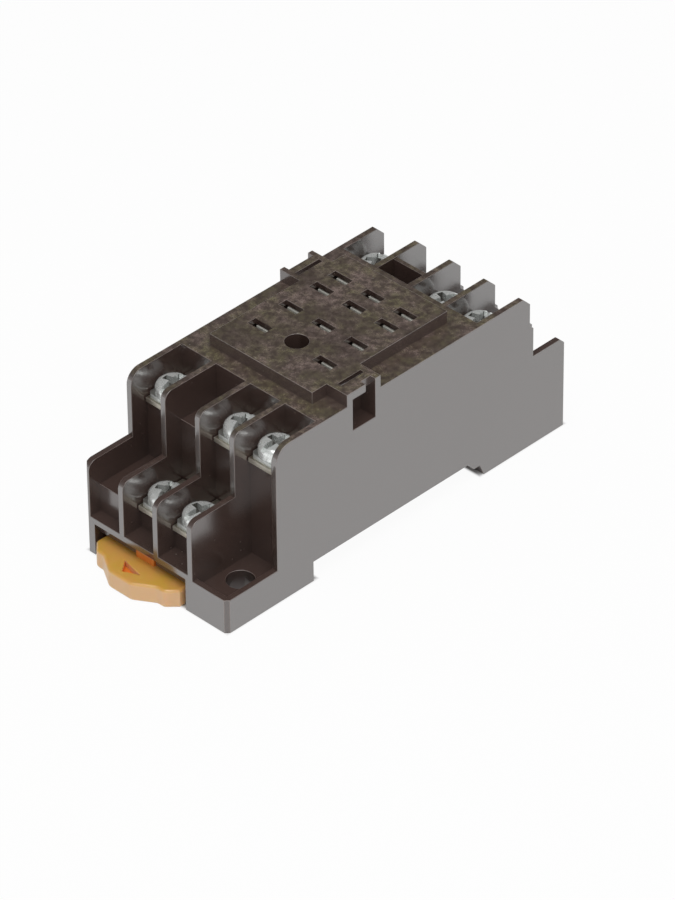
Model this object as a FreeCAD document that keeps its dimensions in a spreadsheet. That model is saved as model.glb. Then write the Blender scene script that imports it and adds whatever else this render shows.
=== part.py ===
import FreeCAD, Part
import Sketcher
import math
import os
import re

# Track-mounted relay socket with eleven screw terminals, all sizes in millimetres.
# Width runs along X, length along Y with the rail clip at the low end, height along Z.
# Sketches and blocks are measured from the clip end; each piece's Placement then
# brings the middle of the rail groove to the origin. Z is 0 under the feet.

document = FreeCAD.newDocument("relay_socket")
sheet = document.addObject("Spreadsheet::Sheet", "Dims")

SIZES = [
    ("length", 72.0, "housing from clip end to rear end"),
    ("width", 29.5, "housing across the side walls"),
    ("wall", 1.0, "outer side wall"),
    ("rib", 1.0, "divider between two bays"),
    ("corner_cut", 0.6, "chamfer on the four upright corners"),
    ("rail_middle", 35.55, "middle of the rail groove from the clip end"),
    ("groove_start", 17.87, "front side of the rail groove"),
    ("groove_roof", 3.52, "roof of the rail groove"),
    ("roof_end", 50.6, "where the roof of the groove slopes down"),
    ("seat_start", 51.9, "rail seat in the rear foot, near end"),
    ("seat_end", 53.2, "rail seat in the rear foot, far end"),
    ("seat_height", 2.1, "height of the rail seat"),
    ("rear_foot", 54.06, "underside of the rear foot starts"),
    ("hook_half", 9.0, "half the width of the fixed rail hook"),
    ("hook_height", 1.0, "thickness of the fixed rail hook"),
    ("corner_top", 6.0, "low wall round each mounting corner"),
    ("bay_floor", 6.67, "floor of the bays at both ends"),
    ("corner_floor", 4.6, "floor round each mounting hole"),
    ("low_top", 16.4, "top of the lower walls and dividers"),
    ("high_top", 27.8, "top of the upper walls, dividers and shelf"),
    ("deck_rise", 2.1, "raised relay deck over the tops of the walls"),
    ("deck_skin", 1.0, "deck over the contact chambers"),
    ("left_step", 9.03, "left wall and dividers rise to the upper tier"),
    ("left_end", 62.08, "rear end of the tall left wall"),
    ("right_start", 10.4, "front end of the tall right wall"),
    ("tall_end", 63.85, "rear end of the tall right wall and dividers"),
    ("heel", 0.8, "lower part of the rear ends stands back this much"),
    ("heel_top", 22.3, "top of that lower part"),
    ("low_round", 1.6, "rounded top corner of the lower tier"),
    ("high_round", 2.4, "rounded top corner of the upper tier"),
    ("right_round", 3.0, "rounded front corner of the tall right wall"),
    ("rear_cut", 1.54, "cut top corner at the rear ends"),
    ("low_face", 3.6, "front face of the lower pedestals"),
    ("high_face", 12.2, "front face of the upper pedestals"),
    ("front_shelf", 19.5, "upper bays end at this wall"),
    ("rear_shelf", 18.6, "upper bays end here, from the rear end"),
    ("deck_start", 22.1, "front of the raised deck"),
    ("deck_end", 50.4, "rear of the raised deck"),
    ("deck_edge", 4.15, "raised deck in from the side faces"),
    ("plate_drop", 5.45, "terminal plates below the tops of their walls"),
    ("low_screw", 6.0, "lower screws from the nearer end"),
    ("high_screw", 14.75, "upper screws from the nearer end"),
    ("hole_in", 3.75, "mounting holes in from the side faces"),
    ("hole_end", 6.5, "mounting holes from the nearer end"),
    ("hole_radius", 2.2, "mounting holes"),
    ("divider_round", 1.5, "rounded front corner of the tall dividers"),
    ("cross_wall", 56.9, "thin wall across the blank rear bay"),
    ("cross_thick", 0.8, "that wall"),
    ("cross_top", 27.5, "top of that wall"),
    ("blank_face", 2.1, "front face of the pedestal in the blank lower bay"),
    ("blank_top", 11.5, "top of that pedestal"),
    ("boss_start", 25.1, "right-hand latch boss, near end"),
    ("boss_end", 32.1, "right-hand latch boss, far end"),
    ("recess_start", 26.3, "latch recess in the side wall, near end"),
    ("recess_end", 30.95, "latch recess in the side wall, far end"),
    ("recess_low", 23.0, "latch recess, lower edge"),
    ("recess_high", 28.5, "latch recess, upper edge"),
    ("recess_depth", 3.05, "latch recess, into the housing"),
    ("notch_start", 29.0, "where the recess is open to the top"),
    ("latch_slot", 0.7, "narrow slot in the top of the boss"),
    ("left_boss_start", 40.85, "left-hand latch boss, near end"),
    ("left_boss_end", 47.7, "left-hand latch boss, far end"),
    ("boss_cheek", 0.95, "solid ends of the left-hand boss"),
    ("column_pitch", 6.7, "contact columns"),
    ("row_a", 28.75, "first contact row"),
    ("step_b", 6.45, "from the first to the second contact row"),
    ("step_c", 6.4, "from the second to the third contact row"),
    ("step_d", 3.9, "from the third to the fourth contact row"),
    ("slot_long", 3.6, "blade slot along X"),
    ("slot_wide", 1.6, "blade slot along Y"),
    ("key_hole_y", 29.6, "round hole in the deck"),
    ("key_hole_radius", 1.85, "round hole in the deck"),
    ("key_hole_depth", 6.5, "round hole in the deck"),
    ("chamber_long", 4.3, "contact chamber along X"),
    ("chamber_wide", 2.8, "contact chamber along Y"),
    ("hollow_side", 2.0, "hollow over the base plate, in from the side walls"),
    ("hollow_start", 21.5, "hollow over the base plate, near end"),
    ("hollow_end", 49.6, "hollow over the base plate, far end"),
    ("hollow_top", 12.0, "roof of the hollow"),
    ("base_lap", 0.9, "base plate laps the edge of the hollow"),
    ("base_plate", 1.4, "thickness of the base plate"),
    ("base_slip", 0.1, "base plate in its rebate"),
    ("rail_pad", 3.0, "rail pads under the base plate"),
    ("pad_side", 8.0, "rail pads off the middle line"),
    ("plate_play", 0.16, "terminal plate to each side of its bay"),
    ("plate_thick", 0.8, "terminal plate and strip"),
    ("plate_front", 3.1, "terminal plate ahead of its screw"),
    ("strip_wide", 2.2, "strip to the contact"),
    ("strip_lap", 1.2, "strip ends past its contact"),
    ("strip_slip", 0.15, "play round a strip in its window"),
    ("contact_wide", 3.0, "contact along X"),
    ("contact_leaf", 0.4, "sheet of the contact"),
    ("contact_gap", 1.3, "between the two leaves"),
    ("contact_clear", 0.15, "contact below the deck skin"),
    ("screw_radius", 1.5, "terminal screw shank"),
    ("screw_long", 4.1, "shank under the washer"),
    ("screw_tip", 0.4, "cut edge at the screw's tip"),
    ("tap_play", 0.05, "shank in the tapped plate"),
    ("tip_web", 0.96, "web left each side of the space for a screw's tip"),
    ("tip_clear", 0.5, "that space under the tip of a tight screw"),
    ("tip_reach", 1.9, "that space before and behind the screw's middle"),
    ("head_play", 0.21, "screw head to each side of its bay"),
    ("head_round", 1.1, "rounded top edge of the screw head"),
    ("head_high", 2.15, "whole screw head"),
    ("washer_play", 0.21, "clamp washer to each side of its bay"),
    ("washer_thick", 0.8, "square clamp washer"),
    ("washer_bore", 1.6, "hole in the clamp washer"),
    ("washer_cut", 0.7, "cut corners of the clamp washer"),
    ("driver_slot", 0.8, "slot in the screw head"),
    ("driver_cross", 1.0, "arms of the cross recess"),
    ("cross_reach", 1.75, "cross recess from the screw's middle"),
    ("driver_deep", 0.9, "depth of the slot"),
    ("cross_deep", 1.3, "depth of the cross recess"),
    ("clip_x", -3.4, "middle of the rail clip"),
    ("clip_half", 8.75, "half the width of the clip's grip"),
    ("clip_low", 0.1, "underside of the clip"),
    ("clip_top", 3.3, "top of the clip"),
    ("clip_lobe", 2.1, "end lobes stand out from the housing"),
    ("lobe_half", 5.7, "inner end of each lobe from the clip's middle"),
    ("clip_end", 0.4, "end faces of the lobes stand out from the housing"),
    ("clip_bulge", 4.2, "middle of the grip stands out from the housing"),
    ("bulge_half", 2.3, "half the width of the middle of the grip"),
    ("clip_back", 2.5, "rear face of the grip inside the housing"),
    ("clip_edge", 0.5, "rounded edges of the grip"),
    ("lobe_round", 1.2, "rounded corners of the lobes in plan"),
    ("bulge_round", 1.8, "rounded corners of the bulge in plan"),
    ("cutout_play", 0.75, "cut-out past each end of the grip"),
    ("cutout_top", 5.6, "top of the cut-out for the clip"),
    ("cutout_deep", 1.2, "cut-out above the clip, into the housing"),
    ("tongue_half", 4.6, "half the width of the clip's tongue"),
    ("flange", 0.8, "guide flange on each side of the tongue"),
    ("flange_low", 1.2, "guide flange, underside"),
    ("flange_thick", 1.0, "guide flange"),
    ("slide_play", 0.2, "play round the sliding clip"),
    ("channel_top", 3.6, "roof of the clip's channel"),
    ("tongue_end", 17.2, "thick part of the tongue ends"),
    ("nose_reach", 1.7, "nose under the rail's flange"),
    ("nose_top", 1.0, "top of the nose"),
    ("arm_chamber", 6.8, "inner side of the spring arm's chamber"),
    ("arm_chamber_end", 13.5, "far end of the spring arm's chamber"),
    ("arm_root", 8.6, "outer side of each spring arm at the grip"),
    ("arm_tip", 8.9, "outer side of each spring arm at its tip"),
    ("arm_end", 12.8, "tip of each spring arm"),
    ("arm_thick", 0.9, "spring arm"),
    ("tab_half", 1.9, "half the width of the stop tab"),
    ("tab_start", 1.0, "near face of the stop tab"),
    ("tab_long", 2.6, "stop tab along Y"),
    ("tab_top", 4.5, "top of the stop tab"),
    ("dimple_deep", 1.1, "three-cornered recess in the grip"),
    ("dimple_left", 2.3, "its left corner from the clip's middle"),
    ("dimple_tip", 0.75, "its front corner from the clip's middle"),
    ("dimple_right", 1.7, "its right corner from the clip's middle"),
    ("dimple_left_out", 0.8, "its left corner out from the housing"),
    ("dimple_tip_out", 2.9, "its front corner out from the housing"),
    ("dimple_right_out", 1.75, "its right corner out from the housing"),
    ("overlap", 0.5, "how far joined blocks run into each other"),
]


def write_sizes():
    """Puts each driving size in the sheet, with its name and what it measures."""
    for row, (name, value, note) in enumerate(SIZES, start=1):
        sheet.set(f"A{row}", note)
        sheet.set(f"B{row}", str(value))
        sheet.setAlias(f"B{row}", name)
    document.recompute()


def formula(text):
    """Turns a line of size names into an expression on the sheet."""
    return re.sub(r"[a-z][a-z_]*", lambda word: "Dims." + word.group(0), text)


def amount(text):
    """The present value of a line of size names."""
    return float(sheet.evalExpression(formula(text)))


def bind(thing, prop, text):
    thing.setExpression(prop, formula(text))


def block(name, x_span, y_span, z_span):
    """A box between three pairs of sizes."""
    box = document.addObject("Part::Box", name)
    spans = (("Length", "x", x_span), ("Width", "y", y_span), ("Height", "z", z_span))
    for prop, axis, (low, high) in spans:
        bind(box, prop, f"({high}) - ({low})")
        bind(box, f".Placement.Base.{axis}", low)
    return box


def post(name, x, y, z_low, z_high, radius):
    """An upright cylinder between two heights."""
    rod = document.addObject("Part::Cylinder", name)
    bind(rod, "Radius", radius)
    bind(rod, "Height", f"({z_high}) - ({z_low})")
    for axis, text in (("x", x), ("y", y), ("z", z_low)):
        bind(rod, f".Placement.Base.{axis}", text)
    return rod


def fuse(name, pieces):
    joined = document.addObject("Part::MultiFuse", name)
    joined.Shapes = pieces
    return joined


def cut(name, solid, tool):
    result = document.addObject("Part::Cut", name)
    result.Base = solid
    result.Tool = tool
    return result


def seat(piece, label, x="0", y="-rail_middle", z="0"):
    """Names a finished piece and brings the middle of the rail groove to the origin."""
    piece.Label = label
    for axis, text in (("x", x), ("y", y), ("z", z)):
        bind(piece, f".Placement.Base.{axis}", text)
    return piece


def draw(sketch, corners):
    """Closed outline through corners (across, up[, radius]); a radius rounds the corner.

    Each corner is held to the sketch's origin by two sizes of the sheet.
    """
    spots = [FreeCAD.Vector(amount(c[0]), amount(c[1]), 0) for c in corners]
    radii = [amount(c[2]) if len(c) > 2 else 0.0 for c in corners]
    count = len(corners)
    ends = []
    for i, spot in enumerate(spots):
        before = (spots[i - 1] - spot).normalize()
        after = (spots[(i + 1) % count] - spot).normalize()
        half_turn = before.getAngle(after) / 2
        reach = radii[i] / math.tan(half_turn)
        ends.append((spot + before * reach, spot + after * reach, before, after, half_turn))
    lines = []
    for i in range(count):
        line = Part.LineSegment(ends[i][1], ends[(i + 1) % count][0])
        lines.append(sketch.addGeometry(line, False))
    for i, corner in enumerate(corners):
        arriving, leaving = lines[i - 1], lines[i]
        if radii[i] > 0:
            start, stop, before, after, half_turn = ends[i]
            middle = spots[i] + (before + after).normalize() * (radii[i] / math.sin(half_turn))
            crown = middle + (spots[i] - middle).normalize() * radii[i]
            arc = sketch.addGeometry(Part.Arc(start, crown, stop), False)
            turns_left = before.cross(after).z < 0
            first, last = (1, 2) if turns_left else (2, 1)
            sketch.addConstraint(Sketcher.Constraint("Tangent", arriving, 2, arc, first))
            sketch.addConstraint(Sketcher.Constraint("Tangent", arc, last, leaving, 1))
            radius = sketch.addConstraint(Sketcher.Constraint("Radius", arc, radii[i]))
            sketch.setExpression(f"Constraints[{radius}]", formula(corner[2]))
            held = sketch.addGeometry(Part.Point(spots[i]), True)
            for line in (arriving, leaving):
                sketch.addConstraint(Sketcher.Constraint("PointOnObject", held, 1, line))
        else:
            held = leaving
            sketch.addConstraint(Sketcher.Constraint("Coincident", arriving, 2, leaving, 1))
        holds = (("DistanceX", spots[i].x, corner[0]), ("DistanceY", spots[i].y, corner[1]))
        for kind, place, text in holds:
            index = sketch.addConstraint(Sketcher.Constraint(kind, -1, 1, held, 1, place))
            sketch.setExpression(f"Constraints[{index}]", formula(text))
    return sketch


TURNS = {
    "x": FreeCAD.Rotation(FreeCAD.Vector(1, 1, 1), 120),
    "y": FreeCAD.Rotation(FreeCAD.Vector(1, 0, 0), 90),
    "z": FreeCAD.Rotation(),
}


def slab(name, corners, start, thick, axis="x"):
    """An outline pushed out to a thickness: along +X, along -Y or along +Z."""
    sketch = document.addObject("Sketcher::SketchObject", name + "_outline")
    sketch.Placement = FreeCAD.Placement(FreeCAD.Vector(0, 0, 0), TURNS[axis])
    bind(sketch, f".Placement.Base.{axis}", start)
    draw(sketch, corners)
    pushed = document.addObject("Part::Extrusion", name)
    pushed.Base = sketch
    pushed.DirMode = "Normal"
    pushed.Solid = True
    bind(pushed, "LengthFwd", thick)
    return pushed


HALF = "width / 2"
INSIDE = "width / 2 - wall"
BAY = "((width - 2 * wall - 3 * rib) / 4)"
DECK_TOP = "(high_top + deck_rise)"
DECK_HALF = "(width / 2 - deck_edge)"
HOLE_SIDE = "(width / 2 - hole_in)"
PLATE_WIDE = f"({BAY} - 2 * plate_play)"
WASHER_SIDE = f"({BAY} - 2 * washer_play)"
HEAD_RADIUS = f"({BAY} / 2 - head_play)"


def divider_side(number, side):
    """Face of a divider, counted from the left: side -1 is its left face, +1 its right."""
    return f"({number - 2}) * ({BAY} + rib) + ({side}) * rib / 2"


def bay_span(bay):
    """Left and right side of a bay; bay 1 is at the left wall, bay 4 at the right."""
    left = f"-({INSIDE})" if bay == 1 else divider_side(bay - 1, 1)
    right = INSIDE if bay == 4 else divider_side(bay, -1)
    return left, right


def bay_middle(bay):
    left, right = bay_span(bay)
    return f"(({left}) + ({right})) / 2"


def from_end(end, distance):
    """A place on Y given as a distance from the clip end or from the rear end."""
    return distance if end == "front" else f"length - ({distance})"


def end_span(end, near, far):
    """Two distances from one end as a low and a high place on Y."""
    span = (from_end(end, near), from_end(end, far))
    return span if end == "front" else span[::-1]


PLATE_TOP = {"low": "low_top - plate_drop", "high": "high_top - plate_drop"}
SCREW_FROM_END = {"low": "low_screw", "high": "high_screw"}
SHELF = {"front": "front_shelf", "rear": "rear_shelf"}
HOLLOW_EDGE = {"front": "hollow_start", "rear": "length - hollow_end"}
COLUMN = {"left": "-column_pitch", "middle": "0", "right": "column_pitch"}
ROW_B = "(row_a + step_b)"
ROW_C = "(row_a + step_b + step_c)"
ROW_D = "(row_a + step_b + step_c + step_d)"

# Each terminal: end of the housing, tier, bay, and the column and row of its contact.
TERMINALS = [
    ("front", "low", 2, "left", ROW_B),
    ("front", "low", 3, "right", ROW_B),
    ("front", "high", 1, "left", "row_a"),
    ("front", "high", 3, "middle", ROW_B),
    ("front", "high", 4, "right", "row_a"),
    ("rear", "high", 1, "left", ROW_D),
    ("rear", "high", 3, "middle", ROW_D),
    ("rear", "high", 4, "right", ROW_D),
    ("rear", "low", 2, "left", ROW_C),
    ("rear", "low", 3, "middle", ROW_C),
    ("rear", "low", 4, "right", ROW_C),
]


def strip_path(terminal):
    """Widths and distances that a terminal strip and its window share."""
    end, tier, bay, column, row = terminal
    start, goal = bay_middle(bay), COLUMN[column]
    side = 1 if amount(goal) > amount(start) else -1
    face = SHELF[end] if tier == "high" else "high_face"
    link = f"{SHELF[end]} + rib" if tier == "high" else f"{HOLLOW_EDGE[end]} + overlap"
    reach = row if end == "front" else f"length - {row}"
    return {
        "start": start, "goal": goal, "side": side, "face": face, "link": link,
        "link_end": f"{link} + strip_wide", "reach": f"{reach} + strip_lap",
        "front": f"{SCREW_FROM_END[tier]} - plate_front", "top": PLATE_TOP[tier],
    }


def underside():
    """The housing's side profile below, from the clip end to the rear end."""
    return [
        ("0", "0"), ("groove_start", "0"), ("groove_start", "groove_roof"), ("roof_end", "groove_roof"),
        ("seat_start", "seat_height"), ("seat_end", "seat_height"), ("rear_foot", "0"), ("length", "0"),
    ]


def tall_rear_end(stands_back):
    """Upper rear end of a wall or divider, with or without the lower heel."""
    foot = [("tall_end", "low_top")]
    if stands_back:
        foot = [
            ("tall_end + heel", "low_top"), ("tall_end + heel", "heel_top - heel"), ("tall_end", "heel_top"),
        ]
    return foot + [("tall_end", "high_top - rear_cut"), ("tall_end - rear_cut", "high_top")]


def low_rear_end():
    return [("length", "low_top - rear_cut"), ("length - rear_cut", "low_top")]


def housing_walls():
    """Side walls and dividers, each one profile seen from the side."""
    stepped_front = [("left_step", "low_top"), ("0", "low_top", "low_round")]
    left = underside() + [
        ("length", "corner_top"), ("left_end", "corner_top"), ("left_end", "high_top - rear_cut"),
        ("left_end - rear_cut", "high_top"), ("left_step", "high_top", "high_round"),
    ] + stepped_front
    right = underside() + low_rear_end() + tall_rear_end(True) + [
        ("right_start", "high_top", "right_round"), ("right_start", "corner_top"), ("0", "corner_top"),
    ]
    pieces = [slab("left_wall", left, f"-{HALF}", "wall"), slab("right_wall", right, INSIDE, "wall")]
    for number in (1, 2, 3):
        divider = [("0", "corner_floor"), ("length", "corner_floor")] + low_rear_end()
        divider += tall_rear_end(number > 1) + [("left_step", "high_top", "divider_round")] + stepped_front
        pieces.append(slab(f"divider_{number}", divider, divider_side(number, -1), "rib"))
    return pieces


def housing_feet():
    """Front and rear foot with the floors of the bays and the fixed rail hook."""
    across = (f"-{HALF}", HALF)
    front_floor = (f"-{HALF}", divider_side(3, 1))
    rear_floor = (divider_side(1, -1), HALF)
    rear_profile = underside()[3:] + [("length", "corner_floor"), ("roof_end", "corner_floor")]
    lip = ("corner_floor - overlap", "corner_top")
    floor = ("corner_floor - overlap", "bay_floor")
    return [
        block("front_foot", across, ("0", "groove_start"), ("0", "corner_floor")),
        block("front_floor", front_floor, ("0", "front_shelf + rib"), ("groove_roof", "bay_floor")),
        block("front_lip", (divider_side(3, -1), HALF), ("0", "wall"), lip),
        slab("rear_foot_block", rear_profile, f"-{HALF}", "width"),
        block("rear_floor", rear_floor, ("length - rear_shelf - rib", "length"), floor),
        block("rear_lip", (f"-{HALF}", divider_side(1, 1)), ("length - wall", "length"), lip),
        block("rail_hook", ("-hook_half", "hook_half"), ("seat_start", "rear_foot + overlap"),
              ("0", "hook_height")),
    ]


def housing_middle():
    """Core with the shelf, the raised deck, its latch bosses and the terminal pedestals."""
    across = (f"-({INSIDE})", INSIDE)
    low_pedestal = f"{PLATE_TOP['low']} - plate_thick"
    high_pedestal = f"{PLATE_TOP['high']} - plate_thick"
    deck = ("high_top - overlap", DECK_TOP)
    low_bays = {"front": (divider_side(1, 1), divider_side(3, -1)), "rear": (divider_side(1, 1), INSIDE)}
    pieces = [
        block("core", across, ("front_shelf", "length - rear_shelf"), ("groove_roof", "high_top")),
        block("deck", (f"-{DECK_HALF}", DECK_HALF), ("deck_start", "deck_end"), deck),
        block("right_boss", (f"{DECK_HALF} - overlap", HALF), ("boss_start", "boss_end"), deck),
        block("left_boss", (f"-{HALF}", f"overlap - {DECK_HALF}"),
              ("left_boss_start", "left_boss_end"), deck),
        block("cross_web", bay_span(2), ("cross_wall", "cross_wall + cross_thick"),
              (f"{high_pedestal} - overlap", "cross_top")),
        block("blank_pedestal", bay_span(1), ("blank_face", "high_face + overlap"),
              ("bay_floor - overlap", "blank_top")),
    ]
    for end in ("front", "rear"):
        high = end_span(end, "high_face", f"{SHELF[end]} + overlap")
        low = end_span(end, "low_face", "high_face + overlap")
        pieces += [
            block(f"{end}_high_pedestal", across, high, ("corner_floor - overlap", high_pedestal)),
            block(f"{end}_low_pedestal", low_bays[end], low, ("bay_floor - overlap", low_pedestal)),
        ]
    return pieces


def clip_way():
    """What is cut from the front foot for the rail clip: cut-out, channel and arm chambers."""
    wide, slot = "(clip_half + cutout_play)", "(tongue_half + slide_play)"
    rail = "(tongue_half + flange + slide_play)"

    def across(half):
        return f"clip_x - {half}", f"clip_x + {half}"

    through = ("clip_back - overlap", "groove_start + overlap")
    grooves = ("flange_low - slide_play", "flange_low + flange_thick + slide_play")
    tab, tab_far = "(tab_half + slide_play)", "tab_start + tab_long + slide_play"
    pieces = [
        block("clip_cutout", across(wide), ("-overlap", "clip_back"), ("-overlap", "channel_top")),
        block("clip_cutout_top", across(wide), ("-overlap", "cutout_deep"),
              ("channel_top - overlap", "cutout_top")),
        block("clip_channel", across(slot), through, ("-overlap", "channel_top")),
        block("clip_grooves", across(rail), through, grooves),
        block("tab_way", across(tab), ("cutout_deep - overlap", tab_far),
              ("channel_top - overlap", "cutout_top")),
    ]
    for name, near, far in (("left_arm", wide, "arm_chamber"), ("right_arm", "-arm_chamber", f"-{wide}")):
        span = (f"clip_x - ({near})", f"clip_x - ({far})")
        pieces.append(block(f"{name}_chamber", span, ("clip_back - overlap", "arm_chamber_end"),
                            ("-overlap", "channel_top")))
    return pieces


def latch_ways():
    """Recesses of the relay's retaining clips in the two bosses."""
    depth = (f"{HALF} - recess_depth", f"{HALF} + overlap")
    skin = (f"{HALF} - wall", f"{HALF} + overlap")
    slot = (f"{HALF} - recess_depth", f"{HALF} - recess_depth + latch_slot")
    above = ("recess_high - overlap", f"{DECK_TOP} + overlap")
    tall = ("recess_low", "recess_high")
    left = ("left_boss_start + boss_cheek", "left_boss_end - boss_cheek")

    def mirrored(span):
        return f"-({span[1]})", f"-({span[0]})"

    return [
        block("right_recess", depth, ("recess_start", "recess_end"), tall),
        block("right_notch", skin, ("notch_start", "recess_end"), above),
        block("right_slot", slot, ("recess_start", "recess_end"), above),
        block("left_recess", mirrored(depth), left, tall),
        block("left_notch", mirrored(skin), left, above),
        block("left_slot", mirrored(slot), left, above),
    ]


def contact_ways():
    """Blade slots through the deck, the chambers under them and the round key hole."""
    pieces = [post("key_hole", "0", "key_hole_y", f"{DECK_TOP} - key_hole_depth", f"{DECK_TOP} + overlap",
                   "key_hole_radius")]
    skin = f"{DECK_TOP} - deck_skin"
    for number, terminal in enumerate(TERMINALS, start=1):
        x, row = COLUMN[terminal[3]], terminal[4]
        for name, long, wide, heights in (
            ("slot", "slot_long", "slot_wide", (f"{skin} - overlap", f"{DECK_TOP} + overlap")),
            ("chamber", "chamber_long", "chamber_wide", ("hollow_top - overlap", skin)),
        ):
            pieces.append(block(f"{name}_{number}", (f"{x} - {long} / 2", f"{x} + {long} / 2"),
                                (f"{row} - {wide} / 2", f"{row} + {wide} / 2"), heights))
    return pieces


def strip_windows():
    """Windows through which the terminal strips reach their contacts."""
    pieces = []
    half = "(strip_wide / 2 + strip_slip)"
    for number, terminal in enumerate(TERMINALS, start=1):
        path = strip_path(terminal)
        end = terminal[0]
        heights = (f"{path['top']} - plate_thick - strip_slip", f"{path['top']} + strip_slip")
        tongue = (f"{path['start']} - {half}", f"{path['start']} + {half}")
        neck = (f"{path['goal']} - {half}", f"{path['goal']} + {half}")
        link = (tongue[0], neck[1]) if path["side"] > 0 else (neck[0], tongue[1])
        link_y = (f"{path['link']} - strip_slip", f"{path['link_end']} + strip_slip")
        near, far = f"{path['face']} - overlap", f"{path['reach']} + strip_slip"
        pieces += [
            block(f"tongue_way_{number}", tongue, end_span(end, near, path["link_end"]), heights),
            block(f"link_way_{number}", link, end_span(end, *link_y), heights),
            block(f"neck_way_{number}", neck, end_span(end, path["link"], far), heights),
        ]
    return pieces


def hollows():
    """Space over the base plate with its rebate, the screw tips' spaces and the mounting holes."""
    side = f"({HALF} - hollow_side)"
    lap = f"({side} + base_lap)"
    below, above = "groove_roof - overlap", "corner_floor + overlap"
    pieces = [
        block("hollow", (f"-{side}", side), ("hollow_start", "hollow_end"), (below, "hollow_top")),
        block("rebate", (f"-{lap}", lap), ("hollow_start - base_lap", "hollow_end + base_lap"),
              (below, "groove_roof + base_plate")),
        post("front_hole", HOLE_SIDE, "hole_end", "-overlap", above, "hole_radius"),
        post("rear_hole", f"-{HOLE_SIDE}", "length - hole_end", "-overlap", above, "hole_radius"),
    ]
    for number, (end, tier, bay) in enumerate((t[:3] for t in TERMINALS), start=1):
        left, right = bay_span(bay)
        sides = (f"{left} + tip_web", f"{right} - tip_web")
        screw = SCREW_FROM_END[tier]
        along = end_span(end, f"{screw} - tip_reach", f"{screw} + tip_reach")
        heights = (f"{PLATE_TOP[tier]} - screw_long - tip_clear", PLATE_TOP[tier])
        pieces.append(block(f"tip_space_{number}", sides, along, heights))
    return pieces


def upright_corners():
    """Chamfers on the four upright corners of the housing."""
    pieces = []
    places = (("fl", "-", "0"), ("fr", "", "0"), ("rl", "-", "length"), ("rr", "", "length"))
    for name, across, along in places:
        back = "+ corner_cut" if along == "0" else "- corner_cut"
        corners = [
            (f"{across}{HALF}", along), (f"{across}({HALF} - corner_cut)", along),
            (f"{across}{HALF}", f"{along} {back}"),
        ]
        pieces.append(slab(f"corner_{name}", corners, "-overlap", "low_top + rib", "z"))
    return pieces


def housing():
    solid = fuse("housing_solid", housing_walls() + housing_feet() + housing_middle())
    ways = clip_way() + latch_ways() + contact_ways() + strip_windows() + hollows() + upright_corners()
    return seat(cut("housing_cut", solid, fuse("housing_ways", ways)), "housing")


def base_plate():
    """Plate that closes the housing from below, with rail pads and props for the low strips."""
    side = f"({HALF} - hollow_side + base_lap - base_slip)"
    top = "groove_roof + base_plate"
    along = ("hollow_start - base_lap + base_slip", "hollow_end + base_lap - base_slip")
    pieces = [block("plate", (f"-{side}", side), along, ("groove_roof", top))]
    pad_ends = ("hollow_start", "hollow_start + rail_pad")
    pad_heights = ("seat_height", "groove_roof + overlap")
    for name, x in (("left", "-pad_side"), ("right", "pad_side")):
        pad_sides = (f"{x} - rail_pad / 2", f"{x} + rail_pad / 2")
        pieces.append(block(f"{name}_pad", pad_sides, pad_ends, pad_heights))
    for number, terminal in enumerate(TERMINALS, start=1):
        if terminal[1] == "low":
            x, row = COLUMN[terminal[3]], terminal[4]
            pieces.append(block(f"prop_{number}", (f"{x} - strip_wide / 2", f"{x} + strip_wide / 2"),
                                (f"{row} - strip_lap", f"{row} + strip_lap"),
                                (f"{top} - overlap", f"{PLATE_TOP['low']} - plate_thick")))
    return seat(fuse("base_plate_solid", pieces), "base_plate")


def new_body(name):
    return document.addObject("PartDesign::Body", name)


def flat_sketch(body, name, plane="XY_Plane", lift="0"):
    """Sketch on one of the body's own origin planes, lifted off it by a size."""
    sketch = body.newObject("Sketcher::SketchObject", name)
    origin_plane = next(f for f in body.Origin.OriginFeatures if f.Role == plane)
    sketch.AttachmentSupport = (origin_plane, [""])
    sketch.MapMode = "FlatFace"
    bind(sketch, ".AttachmentOffset.Base.z", lift)
    return sketch


def pad(body, name, corners, thick, plane="XY_Plane", lift="0", bore=None):
    """Pads an outline, with a round hole about the sketch's origin if a radius is given."""
    sketch = flat_sketch(body, name + "_sketch", plane, lift)
    draw(sketch, corners)
    if bore:
        add_circle(sketch, "0", "0", bore)
    feature = body.newObject("PartDesign::Pad", name)
    feature.Profile = sketch
    bind(feature, "Length", thick)
    return feature


def add_circle(sketch, across, up, radius):
    middle = FreeCAD.Vector(amount(across), amount(up), 0)
    ring = sketch.addGeometry(Part.Circle(middle, FreeCAD.Vector(0, 0, 1), amount(radius)), False)
    size = sketch.addConstraint(Sketcher.Constraint("Radius", ring, amount(radius)))
    sketch.setExpression(f"Constraints[{size}]", formula(radius))
    for kind, place, text in (("DistanceX", middle.x, across), ("DistanceY", middle.y, up)):
        index = sketch.addConstraint(Sketcher.Constraint(kind, -1, 1, ring, 3, place))
        sketch.setExpression(f"Constraints[{index}]", formula(text))


def pocket(body, name, corners, deep, lift):
    """Cuts an outline downwards from a height."""
    sketch = flat_sketch(body, name + "_sketch", "XY_Plane", lift)
    draw(sketch, corners)
    feature = body.newObject("PartDesign::Pocket", name)
    feature.Profile = sketch
    bind(feature, "Length", deep)
    return feature


def rectangle(half_x, low_y, high_y):
    return [(f"-({half_x})", low_y), (half_x, low_y), (half_x, high_y), (f"-({half_x})", high_y)]


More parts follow.
